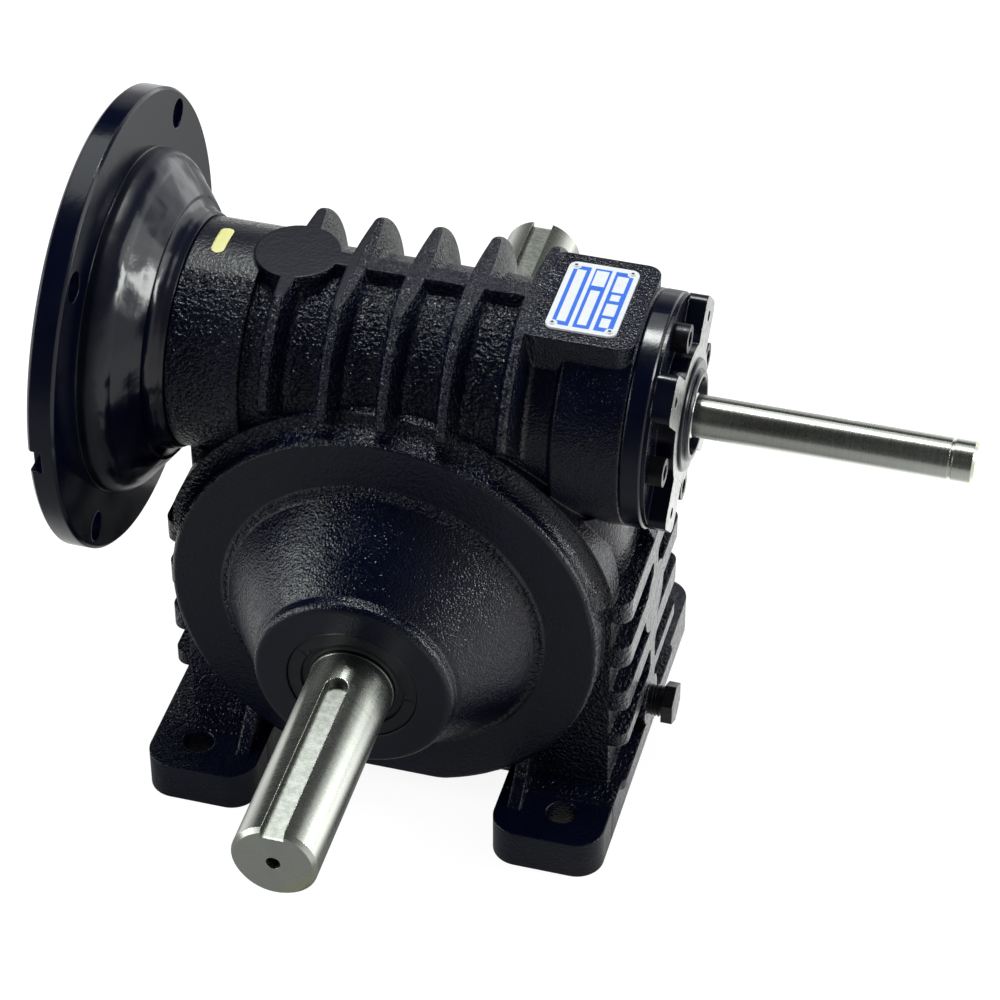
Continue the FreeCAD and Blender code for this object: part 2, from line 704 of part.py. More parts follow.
def lobe(angle):
    """One raised lobe of the end cover, a tongue with a rounded tip."""
    solid = side_block(COVER_SEAT - EDGE_BREAK, COVER_END, NOSE_R - BITE, LOBE_R, -LOBE_HALF, LOBE_HALF,
                       LOBE_ROUND)
    solid.rotate(V(0, 0, 0), X_AXIS, angle)
    solid.translate(V(0, 0, WORM_H))
    return solid


def end_cover():
    e, groove = EDGE_BREAK, RIM_R + 0.3
    core = turned("x", [
        (DISC_END, INP_SEAL_R), (DISC_END, LOBE_R), (COVER_SEAT, LOBE_R), (COVER_SEAT, CORE_R),
        (COVER_END, CORE_R), (COVER_END, NOSE_R), (NOSE_X - e, NOSE_R), (NOSE_X, NOSE_R - e),
        (NOSE_X, groove),
        (RIM_X - RIM_EDGE, RIM_R), (RIM_X, RIM_R - RIM_EDGE), (RIM_X, INP_SEAL_R + RIM_EDGE),
        (INP_SEAL_X1, INP_SEAL_R),
    ], WORM_H)
    cover = fuse(core, *[lobe(a) for a in DIAGONALS])
    holes = ring_holes(COVER_SCREW_R + BOLT_GAP, COVER_SCREW_CIRCLE, QUARTERS,
                       DISC_END - PAST, COVER_END + PAST)
    holes += ring_holes(TAP_R, TAP_CIRCLE, DIAGONALS, COVER_END - TAP_D, COVER_END + PAST)
    return cut(cover, *holes)


def lip_seal(axis, out_r, lip_r, dust_r, back, face, height):
    """Oil seal: a rubber-covered ring with its main lip inside and a dust lip at the outer face."""
    s = 1.0 if face > back else -1.0
    edge, land, wall = SEAL_EDGE, SEAL_LAND, DUST_WALL
    main, dust, case = lip_r + LIP_GAP, dust_r + LIP_GAP, dust_r + SEAL_CASE
    return turned(axis, [
        (back, out_r - edge), (back + s * edge, out_r), (face - s * edge, out_r), (face, out_r - edge),
        (face, case), (face - s * land, case - SEAL_CASE_SLOPE), (face - s * land, dust_r + wall),
        (face - s * DUST_TIP, dust), (face - s * DUST_TIP_END, dust), (face - s * DUST_ROOT, dust_r + wall),
        (back + s * MAIN_ROOT, lip_r + MAIN_WALL), (back + s * land, main), (back + s * edge, main),
        (back + s * SEAL_BACK, lip_r + MAIN_CASE),
    ], height)


def outer_race(axis, a, b, out_r, in_r, ball_r, height):
    """Outer bearing ring with its ball groove, sealing shields included."""
    mid, half = (a + b) / 2, (b - a) / 2
    pitch, edge = (out_r + in_r) / 2, RACE_OUT_BEVEL
    bore = pitch + ball_r * RACE_LAND
    g = ball_r + BALL_GAP
    w = math.sqrt(g * g - (bore - pitch) ** 2)
    return turned(axis, [
        (mid - half, bore), (mid - half, out_r - edge), (mid - half + edge, out_r),
        (mid + half - edge, out_r),
        (mid + half, out_r - edge), (mid + half, bore), (mid + w, bore), ((mid, pitch + g), (mid - w, bore)),
    ], height)


def inner_race(axis, a, b, out_r, in_r, ball_r, height):
    mid, half = (a + b) / 2, (b - a) / 2
    pitch, edge = (out_r + in_r) / 2, RACE_IN_BEVEL
    land = pitch - ball_r * RACE_LAND
    g = ball_r + BALL_GAP
    w = math.sqrt(g * g - (pitch - land) ** 2)
    return turned(axis, [
        (mid - half, in_r + edge), (mid - half, land), (mid - w, land), ((mid, pitch - g), (mid + w, land)),
        (mid + half, land), (mid + half, in_r + edge), (mid + half - edge, in_r), (mid - half + edge, in_r),
    ], height)


def ball_cage(axis, a, b, out_r, in_r, ball_r, count, height):
    """Balls held in one pressed cage ring."""
    mid = (a + b) / 2
    pitch = (out_r + in_r) / 2
    t, w = ball_r * CAGE_T, ball_r * CAGE_W
    centre, way = V(0, 0, height), X_AXIS if axis == "x" else Y_AXIS
    corners = [(mid - w, pitch - t), (mid - w, pitch + t), (mid + w, pitch + t), (mid + w, pitch - t)]
    ring = turned(axis, corners, height)
    ring.rotate(centre, way, 180.0 / count)
    balls = []
    for k in range(count):
        ball = turned(axis, [(mid - ball_r, 0), ((mid, ball_r), (mid + ball_r, 0))], height + pitch)
        ball.rotate(centre, way, 360.0 / count * k)
        balls.append(ball)
    return ring.multiFuse(balls)


def bearing(name, axis, a, b, out_r, in_r, ball_r, count, height):
    return {
        name + "_outer_ring": outer_race(axis, a, b, out_r, in_r, ball_r, height),
        name + "_inner_ring": inner_race(axis, a, b, out_r, in_r, ball_r, height),
        name + "_balls": ball_cage(axis, a, b, out_r, in_r, ball_r, count, height),
    }


def thread_solid():
    """Worm thread: an axial rack section swept along a helix."""
    flank = math.tan(math.radians(PRESSURE_ANGLE))
    half_pitch = (LEAD / 2 - THREAD_PLAY) / 2
    base_r = WORM_ROOT_R - 0.6
    half_base = half_pitch + (WORM_PITCH_R - base_r) * flank
    half_tip = half_pitch - MODULE * flank
    turns = int(2 * WORM_HALF / LEAD)
    start = -turns * LEAD / 2
    helix = Part.makeHelix(LEAD, turns * LEAD, WORM_PITCH_R)
    ring = [(base_r, -half_base), (WORM_TIP_R, -half_tip), (WORM_TIP_R, half_tip), (base_r, half_base)]
    wire = wire_of(ring, lambda p: V(p[0], 0, p[1]))
    solid = Part.Wire(helix).makePipeShell([wire], True, True)
    solid.rotate(V(0, 0, 0), Y_AXIS, 90)
    solid.translate(V(start, 0, WORM_H))
    return solid


def worm_core():
    """Turned shaft with the hollow motor end on the left and the extension on the right."""
    g, run_out = GROOVE_X, WORM_HALF + WORM_RUN_OUT
    low = EXT_R - GROOVE_D
    return turned("x", [
        (HOLLOW_END, 0), (HOLLOW_END, HOLLOW_R - PAST), (HOLLOW_END + PAST, HOLLOW_R),
        (MOT_BRG_X1, HOLLOW_R),
        (MOT_BRG_X1, SHOULDER_R), (-run_out - WORM_TAPER_L, SHOULDER_R), (-run_out, WORM_ROOT_R),
        (run_out, WORM_ROOT_R), (run_out + WORM_TAPER_R, INP_SHOULDER_R), (INP_BRG_X0, INP_SHOULDER_R),
        (INP_BRG_X0, INP_SEAT_R), (EXT_SEAL_START - 2.0, INP_SEAT_R), (EXT_SEAL_START, EXT_SEAL_R),
        (EXT_START - EDGE_BREAK, EXT_SEAL_R), (EXT_START, EXT_R), (g, EXT_R), (g, low), (g + GROOVE_W, low),
        (g + GROOVE_W, EXT_R), (EXT_END - EXT_BEVEL, EXT_R), (EXT_END, EXT_R - EXT_BEVEL), (EXT_END, 0),
    ], WORM_H)


def worm_shaft():
    bore = cyl("x", BORE_R, HOLLOW_END - PAST, BORE_END, 0, WORM_H)
    slot = box(HOLLOW_END - PAST, BORE_END - 2.0, -BORE_KEY_W / 2, BORE_KEY_W / 2,
               WORM_H, WORM_H + BORE_R + BORE_KEY_D)
    side = math.sqrt(0.5)
    inward = V(0, -side, -side)
    top = V(CROSS_HOLE_X, side * EXT_R, WORM_H + side * EXT_R) - inward
    hole = Part.makeCylinder(CROSS_HOLE_R, CROSS_HOLE_D + PAST, top, inward)
    return cut(worm_core().fuse(thread_solid()), bore, slot, hole)


def open_keyway(end):
    """Keyway on top of the output shaft, open at the shaft end and round at its inner end."""
    y_in, y_out = end * (KEYWAY_IN + KEYWAY_W / 2), end * (SHAFT_END + PAST)
    low, high = OUT_H + SHAFT_R - KEYWAY_D, OUT_H + SHAFT_R + PAST
    slot = box(-KEYWAY_W / 2, KEYWAY_W / 2, min(y_in, y_out), max(y_in, y_out), low, high)
    return slot.fuse(cyl("z", KEYWAY_W / 2, low, high, 0, y_in))


def wheel_key_block(over):
    """Key between the output shaft and the wheel, or the slot for it where it reaches over."""
    w, l = WHEEL_KEY_W / 2, WHEEL_KEY_L / 2
    low = OUT_H + WHEEL_SEAT_R - WHEEL_KEY_H * WHEEL_KEY_SUNK
    return box(-w, w, -l, l, low, low + WHEEL_KEY_H + over)


def output_shaft():
    half = [
        (SHAFT_END, 0), (SHAFT_END, SHAFT_R - SHAFT_BEVEL), (SHAFT_END - SHAFT_BEVEL, SHAFT_R),
        (HUB_FACE, SHAFT_R), (HUB_FACE, DUST_LAND_R), (SEAT_OUT, DUST_LAND_R),
        (SEAT_OUT - SEAT_BEVEL, SEAT_R), (OUT_BRG_IN, SEAT_R), (OUT_BRG_IN, WHEEL_SEAT_R),
    ]
    other = [(-y, r) for y, r in reversed(half)]
    cuts = [open_keyway(-1), open_keyway(1), wheel_key_block(WHEEL_KEY_H)]
    for end in (-1, 1):
        bottom, mouth = end * (SHAFT_END - CENTRE_HOLE_L), end * (SHAFT_END + PAST)
        cuts.append(cyl("y", CENTRE_HOLE_R, bottom, mouth, 0, OUT_H))
    return cut(turned("y", half + other, OUT_H), *cuts)


def wheel_hub():
    """Iron centre of the wheel: a tapered hub, a web and a ledge that carries the rim."""
    half = [
        (HUB_HALF, WHEEL_SEAT_R), (HUB_HALF, WHEEL_HUB_R - HUB_TAPER), (WEB_HALF, WHEEL_HUB_R),
        (WEB_HALF, RIM_IN_R - RIM_LEDGE - RIM_LEDGE_SLOPE), (RIM_HALF, RIM_IN_R - RIM_LEDGE),
        (RIM_HALF, RIM_IN_R),
    ]
    other = [(-y, r) for y, r in reversed(half)]
    w = WHEEL_KEY_W / 2
    low = OUT_H + WHEEL_SEAT_R - WHEEL_KEY_H * WHEEL_KEY_SUNK
    slot = box(-w, w, -HUB_HALF - PAST, HUB_HALF + PAST, OUT_H, low + WHEEL_KEY_H)
    return cut(turned("y", half + other, OUT_H), slot)


def flank_point(r, half_angle_pitch):
    """Half tooth angle of an involute at radius r."""
    base = WHEEL_PITCH_R * math.cos(math.radians(PRESSURE_ANGLE))

    def inv(radius):
        a = math.acos(min(1.0, base / radius))
        return math.tan(a) - a
    return half_angle_pitch + inv(WHEEL_PITCH_R) - inv(max(r, base))


def wheel_outline(y, turn):
    """Closed outline of the toothed wheel at one height along its axis."""
    pitch_angle = 2 * math.pi / WHEEL_TEETH
    half = pitch_angle / 4
    radii = [WHEEL_ROOT_R] + [WHEEL_PITCH_R + step for step in TOOTH_STEPS] + [WHEEL_TIP_R + TOOTH_OVER]
    pts = []
    for k in range(WHEEL_TEETH):
        mid = pitch_angle * (k + 0.5) + turn
        for r in radii:
            pts.append((r, mid - flank_point(r, half)))
        for r in reversed(radii):
            pts.append((r, mid + flank_point(r, half)))
    flat = [V(r * math.sin(a), y, OUT_H + r * math.cos(a)) for r, a in pts]
    return Part.makePolygon(flat + [flat[0]])


def wheel_rim():
    """Bronze rim: twisted teeth cut back to a throat that wraps round the worm."""
    twist = RIM_HALF * math.tan(LEAD_ANGLE) / WHEEL_PITCH_R
    low, high = wheel_outline(-RIM_HALF, -twist), wheel_outline(RIM_HALF, twist)
    teeth = Part.makeLoft([low, high], True, True)
    throat = WORM_PITCH_R - MODULE
    reach = math.sqrt(throat ** 2 - (CENTRES - RIM_FLAT_R) ** 2)
    blank = turned("y", [
        (-RIM_HALF, RIM_IN_R), (-RIM_HALF, RIM_FLAT_R - RIM_BEVEL), (-RIM_HALF + RIM_BEVEL, RIM_FLAT_R),
        (-reach, RIM_FLAT_R), ((0, CENTRES - throat), (reach, RIM_FLAT_R)),
        (RIM_HALF - RIM_BEVEL, RIM_FLAT_R),
        (RIM_HALF, RIM_FLAT_R - RIM_BEVEL), (RIM_HALF, RIM_IN_R),
    ], OUT_H)
    return teeth.common(blank)


def spacer(end):
    """Sleeve between the wheel and a bearing."""
    lo, hi = sorted((end * HUB_HALF, end * OUT_BRG_IN))
    r = WHEEL_SEAT_R + SPACER_T
    return turned("y", [(lo, WHEEL_SEAT_R), (lo, r), (hi, r), (hi, WHEEL_SEAT_R)], OUT_H)


def snap_ring():
    x0, x1 = INP_BRG_X1 + SNAP_GAP, INP_BRG_X1 + SNAP_GAP + SNAP_T
    out = INP_SEAT_R + SNAP_H
    ring = turned("x", [(x0, INP_SEAT_R), (x0, out), (x1, out), (x1, INP_SEAT_R)], WORM_H)
    return cut(ring, box(x0 - PAST, x1 + PAST, -SNAP_SLOT / 2, SNAP_SLOT / 2, WORM_H, WORM_H + out + PAST))


def drain_plug():
    start = BODY_XR + PLUG_NECK
    neck = cyl("x", PLUG_R, BODY_XR - PLUG_IN, start, 0, PLUG_Z)
    return neck.fuse(hexagon("x", PLUG_AF, start, start + PLUG_HEAD, 0, PLUG_Z))


def fill_plug():
    out = END_R + FILL_BOSS - FILL_SINK
    body = cyl("y", FILL_R, out + FILL_SINK - FILL_IN, out, FILL_X, WORM_H)
    return cut(body, hexagon("y", FILL_HEX, out - FILL_HEX_D, out + PAST, FILL_X, WORM_H))


def back_screw(angle):
    x, z = around(BACK_SCREW_CIRCLE, angle, OUT_H)
    shank = cyl("y", BACK_SCREW_R, COVER_PLANE - BACK_IN + PAST, DRUM_FACE, x, z)
    return shank.fuse(hexagon("y", BACK_SCREW_AF, DRUM_FACE, DRUM_FACE + BACK_HEAD, x, z))


def socket_screw(start, head_x, head_r, head_l, shank_r, circle, angle, s):
    """Socket head screw along X; s is the way its head points."""
    y, z = around(circle, angle, WORM_H)
    shank = cyl("x", shank_r, start, head_x, y, z)
    head = cyl("x", head_r, head_x, head_x + s * head_l, y, z)
    hexa = hexagon("x", head_r, head_x + s * head_l / 2, head_x + s * (head_l + PAST), y, z)
    return cut(shank.fuse(head), hexa)


def name_plate():
    plate = rounded(PLATE_X - PLATE_W / 2, PLATE_X + PLATE_W / 2, -PLATE_L / 2, PLATE_L / 2,
                    TOP_Z, TOP_Z + PLATE_T, PLATE_ROUND)
    x, y = PLATE_W / 2 - RIVET_IN, PLATE_L / 2 - RIVET_IN
    pins = [cyl("z", RIVET_R, TOP_Z, TOP_Z + PLATE_T + RIVET_T, PLATE_X + sx * x, sy * y)
            for sx in (-1, 1) for sy in (-1, 1)]
    return fuse(plate, *pins)


def seals():
    face = HUB_FACE - SEAL_SINK
    return {
        "front_output_seal": lip_seal("y", OUT_SEAL_R, SEAT_R, DUST_LAND_R, -OUT_SEAL_IN, -face, OUT_H),
        "back_output_seal": lip_seal("y", OUT_SEAL_R, SEAT_R, DUST_LAND_R, OUT_SEAL_IN, face, OUT_H),
        "motor_side_seal": lip_seal("x", BELL_SEAL_R, HOLLOW_R, HOLLOW_R, BARREL_L + BELL_SPIGOT - EDGE_BREAK,
                                    BELL_WALL_X + EDGE_BREAK / 2, WORM_H),
        "input_seal": lip_seal("x", INP_SEAL_R, EXT_SEAL_R, EXT_SEAL_R, INP_SEAL_X0, INP_SEAL_X1, WORM_H),
    }


def bearings():
    sets = [
        ("front_bearing", "y", -OUT_BRG_OUT, -OUT_BRG_IN, OUT_BRG_R, SEAT_R, OUT_BALL_R, OUT_BALLS, OUT_H),
        ("back_bearing", "y", OUT_BRG_IN, OUT_BRG_OUT, OUT_BRG_R, SEAT_R, OUT_BALL_R, OUT_BALLS, OUT_H),
        ("motor_bearing", "x", MOT_BRG_X0, MOT_BRG_X1, MOT_BRG_R, HOLLOW_R, MOT_BALL_R, MOT_BALLS, WORM_H),
        ("input_bearing", "x", INP_BRG_X0, INP_BRG_X1, INP_BRG_R, INP_SEAT_R, INP_BALL_R, INP_BALLS, WORM_H),
    ]
    parts = {}
    for values in sets:
        parts.update(bearing(*values))
    return parts


def screws():
    parts = {}
    for k, angle in enumerate(back_screw_angles()):
        parts["back_screw_%d" % (k + 1)] = back_screw(angle)
    for k, angle in enumerate(QUARTERS):
        parts["end_cover_screw_%d" % (k + 1)] = socket_screw(
            BARREL_RT - COVER_IN + PAST, COVER_SEAT, COVER_HEAD_R, COVER_HEAD, COVER_SCREW_R,
            COVER_SCREW_CIRCLE, angle, 1)
    for k, angle in enumerate(DIAGONALS):
        parts["bell_screw_%d" % (k + 1)] = socket_screw(
            BARREL_L + BELL_IN - PAST, BELL_WALL_X, BELL_HEAD_R, BELL_HEAD, BELL_SCREW_R,
            BELL_SCREW_CIRCLE, angle, -1)
    return parts


def all_parts():
    parts = {
        "housing": housing(), "motor_flange": motor_flange(), "output_cover": output_cover(),
        "cover_gasket": cover_gasket(), "bearing_disc": bearing_disc(), "end_cover": end_cover(),
        "worm_shaft": worm_shaft(), "output_shaft": output_shaft(), "wheel_key": wheel_key_block(0),
        "wheel_hub": wheel_hub(), "wheel_rim": wheel_rim(), "spacer_front": spacer(-1),
        "spacer_back": spacer(1), "snap_ring": snap_ring(), "drain_plug": drain_plug(),
        "fill_plug": fill_plug(), "name_plate": name_plate(),
    }
    parts.update(seals())
    parts.update(bearings())
    parts.update(screws())
    return parts


for name, shape in all_parts().items():
    shape.exportStep("parts/%s.step" % name)
    print(name, shape.isValid(), len(shape.Solids), round(shape.Volume, 1))
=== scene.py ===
import json
import math

import bmesh
import bpy
from mathutils import Matrix, Vector

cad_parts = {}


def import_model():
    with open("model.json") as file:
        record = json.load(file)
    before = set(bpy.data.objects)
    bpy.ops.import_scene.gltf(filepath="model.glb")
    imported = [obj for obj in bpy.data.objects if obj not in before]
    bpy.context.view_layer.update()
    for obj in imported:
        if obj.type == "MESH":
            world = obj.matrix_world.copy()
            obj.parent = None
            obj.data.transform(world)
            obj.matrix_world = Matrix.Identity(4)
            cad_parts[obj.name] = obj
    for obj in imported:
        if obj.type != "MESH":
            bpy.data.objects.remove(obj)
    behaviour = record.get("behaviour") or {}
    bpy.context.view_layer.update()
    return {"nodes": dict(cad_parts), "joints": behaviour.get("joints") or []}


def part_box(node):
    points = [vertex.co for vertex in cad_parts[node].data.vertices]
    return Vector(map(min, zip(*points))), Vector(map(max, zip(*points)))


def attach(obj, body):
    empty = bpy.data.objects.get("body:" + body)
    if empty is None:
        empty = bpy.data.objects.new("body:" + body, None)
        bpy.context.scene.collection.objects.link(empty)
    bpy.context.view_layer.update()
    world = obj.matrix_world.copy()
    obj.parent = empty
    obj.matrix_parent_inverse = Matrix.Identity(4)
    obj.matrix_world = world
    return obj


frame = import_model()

# Heights of the two axes, from the joints

AXIS_HEIGHT = {joint["name"]: joint["pos_m"][2] for joint in frame["joints"]}
WORM_H = AXIS_HEIGHT["worm_spin"]
OUT_H = AXIS_HEIGHT["output_spin"]

# Faces and ends that the materials and the small pieces keep to, from the nodes' boxes

FLANGE_THICK = 0.0097
FLANGE_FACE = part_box("motor_flange")[0].x + FLANGE_THICK
HUB_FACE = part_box("housing")[0].y
SEAL_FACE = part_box("front_output_seal")[0].y
SHAFT_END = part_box("output_shaft")[1].y
EXTENSION_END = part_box("worm_shaft")[1].x
SCREW_HEAD_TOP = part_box("end_cover_screw_1")[1].x
PLUG_LOW, PLUG_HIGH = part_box("drain_plug")
PLATE_LOW, PLATE_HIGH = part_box("name_plate")

# Radii and places that no box gives

BAND_END = -0.0530
BAND_R = 0.0408
SECOND_FIN_X = -0.0205
TOP_Z = WORM_H + 0.0420
PAD_START = 0.0420
SHELF_Z = OUT_H + 0.0170
DRUM_FACE = -0.0496
RING_IN_R = 0.0593
HUB_R = 0.0360
COVER_FACE = 0.0970
NOSE_R = 0.0198
COVER_SCREW_CIRCLE = 0.0325
SHAFT_R = 0.0150
PLUG_NECK = 0.0053
PLUG_HEAD = 0.0042

# Colours of the black enamel

ENAMEL_DARK = (0.0008, 0.0018, 0.0105)
ENAMEL_PLAIN = (0.0010, 0.0020, 0.0110)
ENAMEL_LIGHT = (0.0014, 0.0028, 0.0145)


# Writing node trees

class Tree:
    """Writes a node tree; a value is a number or another node's output."""

    def __init__(self, owner):
        owner.use_nodes = True
        self.nt = owner.node_tree
        self.nt.nodes.clear()

    def node(self, kind):
        return self.nt.nodes.new(kind)

    def link(self, value, target):
        if hasattr(value, "is_output"):
            self.nt.links.new(value, target)
        else:
            target.default_value = value

    def split(self, vector):
        n = self.node("ShaderNodeSeparateXYZ")
        self.link(vector, n.inputs[0])
        return n.outputs

    def math(self, operation, a, b=0.0, clamp=False):
        n = self.node("ShaderNodeMath")
        n.operation = operation
        n.use_clamp = clamp
        self.link(a, n.inputs[0])
        self.link(b, n.inputs[1])
        return n.outputs[0]

    def times(self, first, *others):
        for other in others:
            first = self.math("MULTIPLY", first, other)
        return first

    def most(self, first, *others):
        for other in others:
            first = self.math("MAXIMUM", first, other)
        return first

    def plus(self, a, b):
        return self.math("ADD", a, b)

    def minus(self, a, b):
        return self.math("SUBTRACT", a, b)

    def ramp(self, value, a, b, low=0.0, high=1.0):
        """Smooth step from low at a to high at b; it falls along the value where b is less than a."""
        n = self.node("ShaderNodeMapRange")
        n.interpolation_type = "SMOOTHSTEP"
        self.link(value, n.inputs["Value"])
        for key, number in (("From Min", a), ("From Max", b), ("To Min", low), ("To Max", high)):
            n.inputs[key].default_value = number
        return n.outputs[0]

    def between(self, value, low, high, soft):
        """1 from low to high and 0 outside, with soft steps."""
        rise = self.ramp(value, low - soft, low + soft)
        fall = self.ramp(value, high + soft, high - soft)
        return self.times(rise, fall)


class Surface(Tree):
    """A material with one Principled shader, written in the object's own coordinates."""

    def __init__(self, name):
        self.material = bpy.data.materials.new(name)
        super().__init__(self.material)
        self.shader = self.node("ShaderNodeBsdfPrincipled")
        self.link(self.shader.outputs[0], self.node("ShaderNodeOutputMaterial").inputs[0])
        self.place = self.node("ShaderNodeTexCoord").outputs["Object"]
        self.x, self.y, self.z = self.split(self.place)

    def put(self, socket, value):
        self.link(value, self.shader.inputs[socket])

    def noise(self, scale, detail=2.0, rough=0.5, vector=None, distortion=0.0):
        n = self.node("ShaderNodeTexNoise")
        settings = {"Scale": scale, "Detail": detail, "Roughness": rough, "Distortion": distortion}
        for key, number in settings.items():
            n.inputs[key].default_value = number
        self.link(vector or self.place, n.inputs["Vector"])
        return n.outputs["Fac"]

    def stretched(self, *scale):
        n = self.node("ShaderNodeMapping")
        n.inputs["Scale"].default_value = scale
        self.link(self.place, n.inputs["Vector"])
        return n.outputs[0]

    def mix(self, share, a, b):
        """Colour between a and b; a plain colour is three numbers."""
        n = self.node("ShaderNodeMix")
        n.data_type = "RGBA"
        self.link(share, n.inputs[0])
        for colour, target in ((a, n.inputs[6]), (b, n.inputs[7])):
            self.link(colour if hasattr(colour, "is_output") else (*colour, 1.0), target)
        return n.outputs[2]

    def blend(self, share, a, b):
        n = self.node("ShaderNodeMix")
        n.data_type = "FLOAT"
        for value, target in ((share, n.inputs[0]), (a, n.inputs[2]), (b, n.inputs[3])):
            self.link(value, target)
        return n.outputs[0]

    def bump(self, height, strength, distance, normal=None):
        n = self.node("ShaderNodeBump")
        self.link(strength, n.inputs["Strength"])
        n.inputs["Distance"].default_value = distance
        self.link(height, n.inputs["Height"])
        if normal is not None:
            self.link(normal, n.inputs["Normal"])
        return n.outputs[0]

    def soft_edge(self, radius):
        n = self.node("ShaderNodeBevel")
        n.samples = 6
        n.inputs["Radius"].default_value = radius
        return n.outputs[0]

    def length(self, a, b):
        return self.math("SQRT", self.plus(self.times(a, a), self.times(b, b)))

    def from_axis(self, across, height):
        """Distance from a level axis at that height."""
        return self.length(across, self.minus(self.z, height))


# Materials of the housing

def casting():
    """Black enamel on a rough sand casting, smoother where it was turned or ground."""
    m = Surface("black_casting")
    r = m.from_axis(m.x, OUT_H)
    ring = m.times(m.ramp(m.y, DRUM_FACE + 0.0006, DRUM_FACE + 0.0001),
                   m.ramp(m.y, DRUM_FACE - 0.0014, DRUM_FACE - 0.0004),
                   m.ramp(r, RING_IN_R - 0.0008, RING_IN_R + 0.0002))
    hub = m.times(m.ramp(m.y, HUB_FACE + 0.0008, HUB_FACE + 0.0001), m.ramp(r, HUB_R, HUB_R - 0.0015))
    boss = m.times(m.ramp(m.z, TOP_Z - 0.0003, TOP_Z - 0.0001),
                   m.ramp(m.x, SECOND_FIN_X + 0.0005, SECOND_FIN_X - 0.0005))
    strip = m.times(m.ramp(m.x, BAND_END + 0.0005, BAND_END - 0.0005),
                    m.ramp(m.z, TOP_Z - 0.0045, TOP_Z - 0.0035))
    smooth = m.math("MAXIMUM", m.most(ring, hub), m.most(boss, strip), clamp=True)

    lumps = m.noise(150, 2, 0.5)
    grain = m.plus(m.noise(760, 1.0, 0.5, distortion=0.5), m.times(m.noise(1800, 1.0), 0.20))
    coarse = m.plus(m.times(grain, 1.15), m.times(lumps, 0.60))
    sand = m.plus(m.times(m.noise(1300, 1.0), 0.34), m.times(lumps, 0.28))
    barrel_end = m.times(m.ramp(m.x, PAD_START - 0.002, PAD_START + 0.010),
                         m.ramp(m.z, SHELF_Z + 0.005, SHELF_Z + 0.015))
    even = m.most(m.ramp(m.y, DRUM_FACE - 0.0014, DRUM_FACE - 0.0029), barrel_end)
    flat = m.plus(m.times(smooth, 0.76), m.times(boss, 0.16))
    m.put("Normal", m.bump(m.blend(even, coarse, sand), m.minus(1.0, flat), 0.00095, m.soft_edge(0.0012)))

    m.put("Base Color", m.mix(m.ramp(m.noise(60, 3), 0.35, 0.7), ENAMEL_DARK, ENAMEL_LIGHT))
    gloss = m.ramp(m.noise(150, 3), 0.3, 0.7, 0.10, 0.19)
    m.put("Roughness", m.blend(smooth, gloss, 0.34))
    m.put("Specular IOR Level", 0.5)
    return m.material


def turned_black(name, rough_low, rough_high, ripple):
    """Smooth glossy enamel; ripple bends the light on the cast bell, whose foot is duller."""
    m = Surface(name)
    bell = m.between(m.x, FLANGE_FACE + 0.0020, FLANGE_FACE + 0.0220, 0.0015)
    wave = m.times(m.noise(55, 1.5), m.plus(m.times(bell, ripple), 0.15))
    height = m.plus(m.times(m.noise(420, 2, 0.5), 0.06), wave)
    m.put("Normal", m.bump(height, 1.0, 0.0006, m.soft_edge(0.0007)))
    m.put("Base Color", m.mix(m.noise(40, 3), ENAMEL_DARK, ENAMEL_LIGHT))
    gloss = m.ramp(m.noise(55, 4), 0.3, 0.7, rough_low, rough_high)
    if ripple:
        foot = m.times(m.ramp(m.x, FLANGE_FACE + 0.0002, FLANGE_FACE + 0.0007),
                       m.ramp(m.x, FLANGE_FACE + 0.0080, FLANGE_FACE + 0.0050))
        gloss = m.blend(foot, gloss, 0.42)
    m.put("Roughness", gloss)
    m.put("Specular IOR Level", 0.5)
    return m.material


def end_cover_black():
    """Black cover whose raised faces were ground bright."""
    m = Surface("end_cover_black")
    r = m.from_axis(m.y, WORM_H)
    ground = m.times(m.between(m.x, COVER_FACE - 0.0001, COVER_FACE + 0.00015, 0.00005),
                     m.ramp(r, NOSE_R, NOSE_R + 0.0004))
    lines = m.noise(260, 3, 0.6, m.stretched(1, 1, 6))
    worn = m.ramp(m.noise(520, 3, 0.6), 0.26, 0.52)
    bright = m.mix(worn, (0.22, 0.22, 0.22), (0.52, 0.53, 0.51))
    m.put("Base Color", m.mix(ground, ENAMEL_PLAIN, bright))
    m.put("Metallic", m.times(ground, 0.85))
    gloss = m.ramp(m.noise(90, 3), 0.3, 0.7, 0.18, 0.30)
    m.put("Roughness", m.blend(ground, gloss, m.ramp(lines, 0.3, 0.7, 0.30, 0.5)))
    m.put("Normal", m.bump(m.noise(500, 2), 0.16, 0.0005, m.soft_edge(0.0005)))
    m.put("Specular IOR Level", 0.5)
    return m.material


# Materials of the shafts and bearings

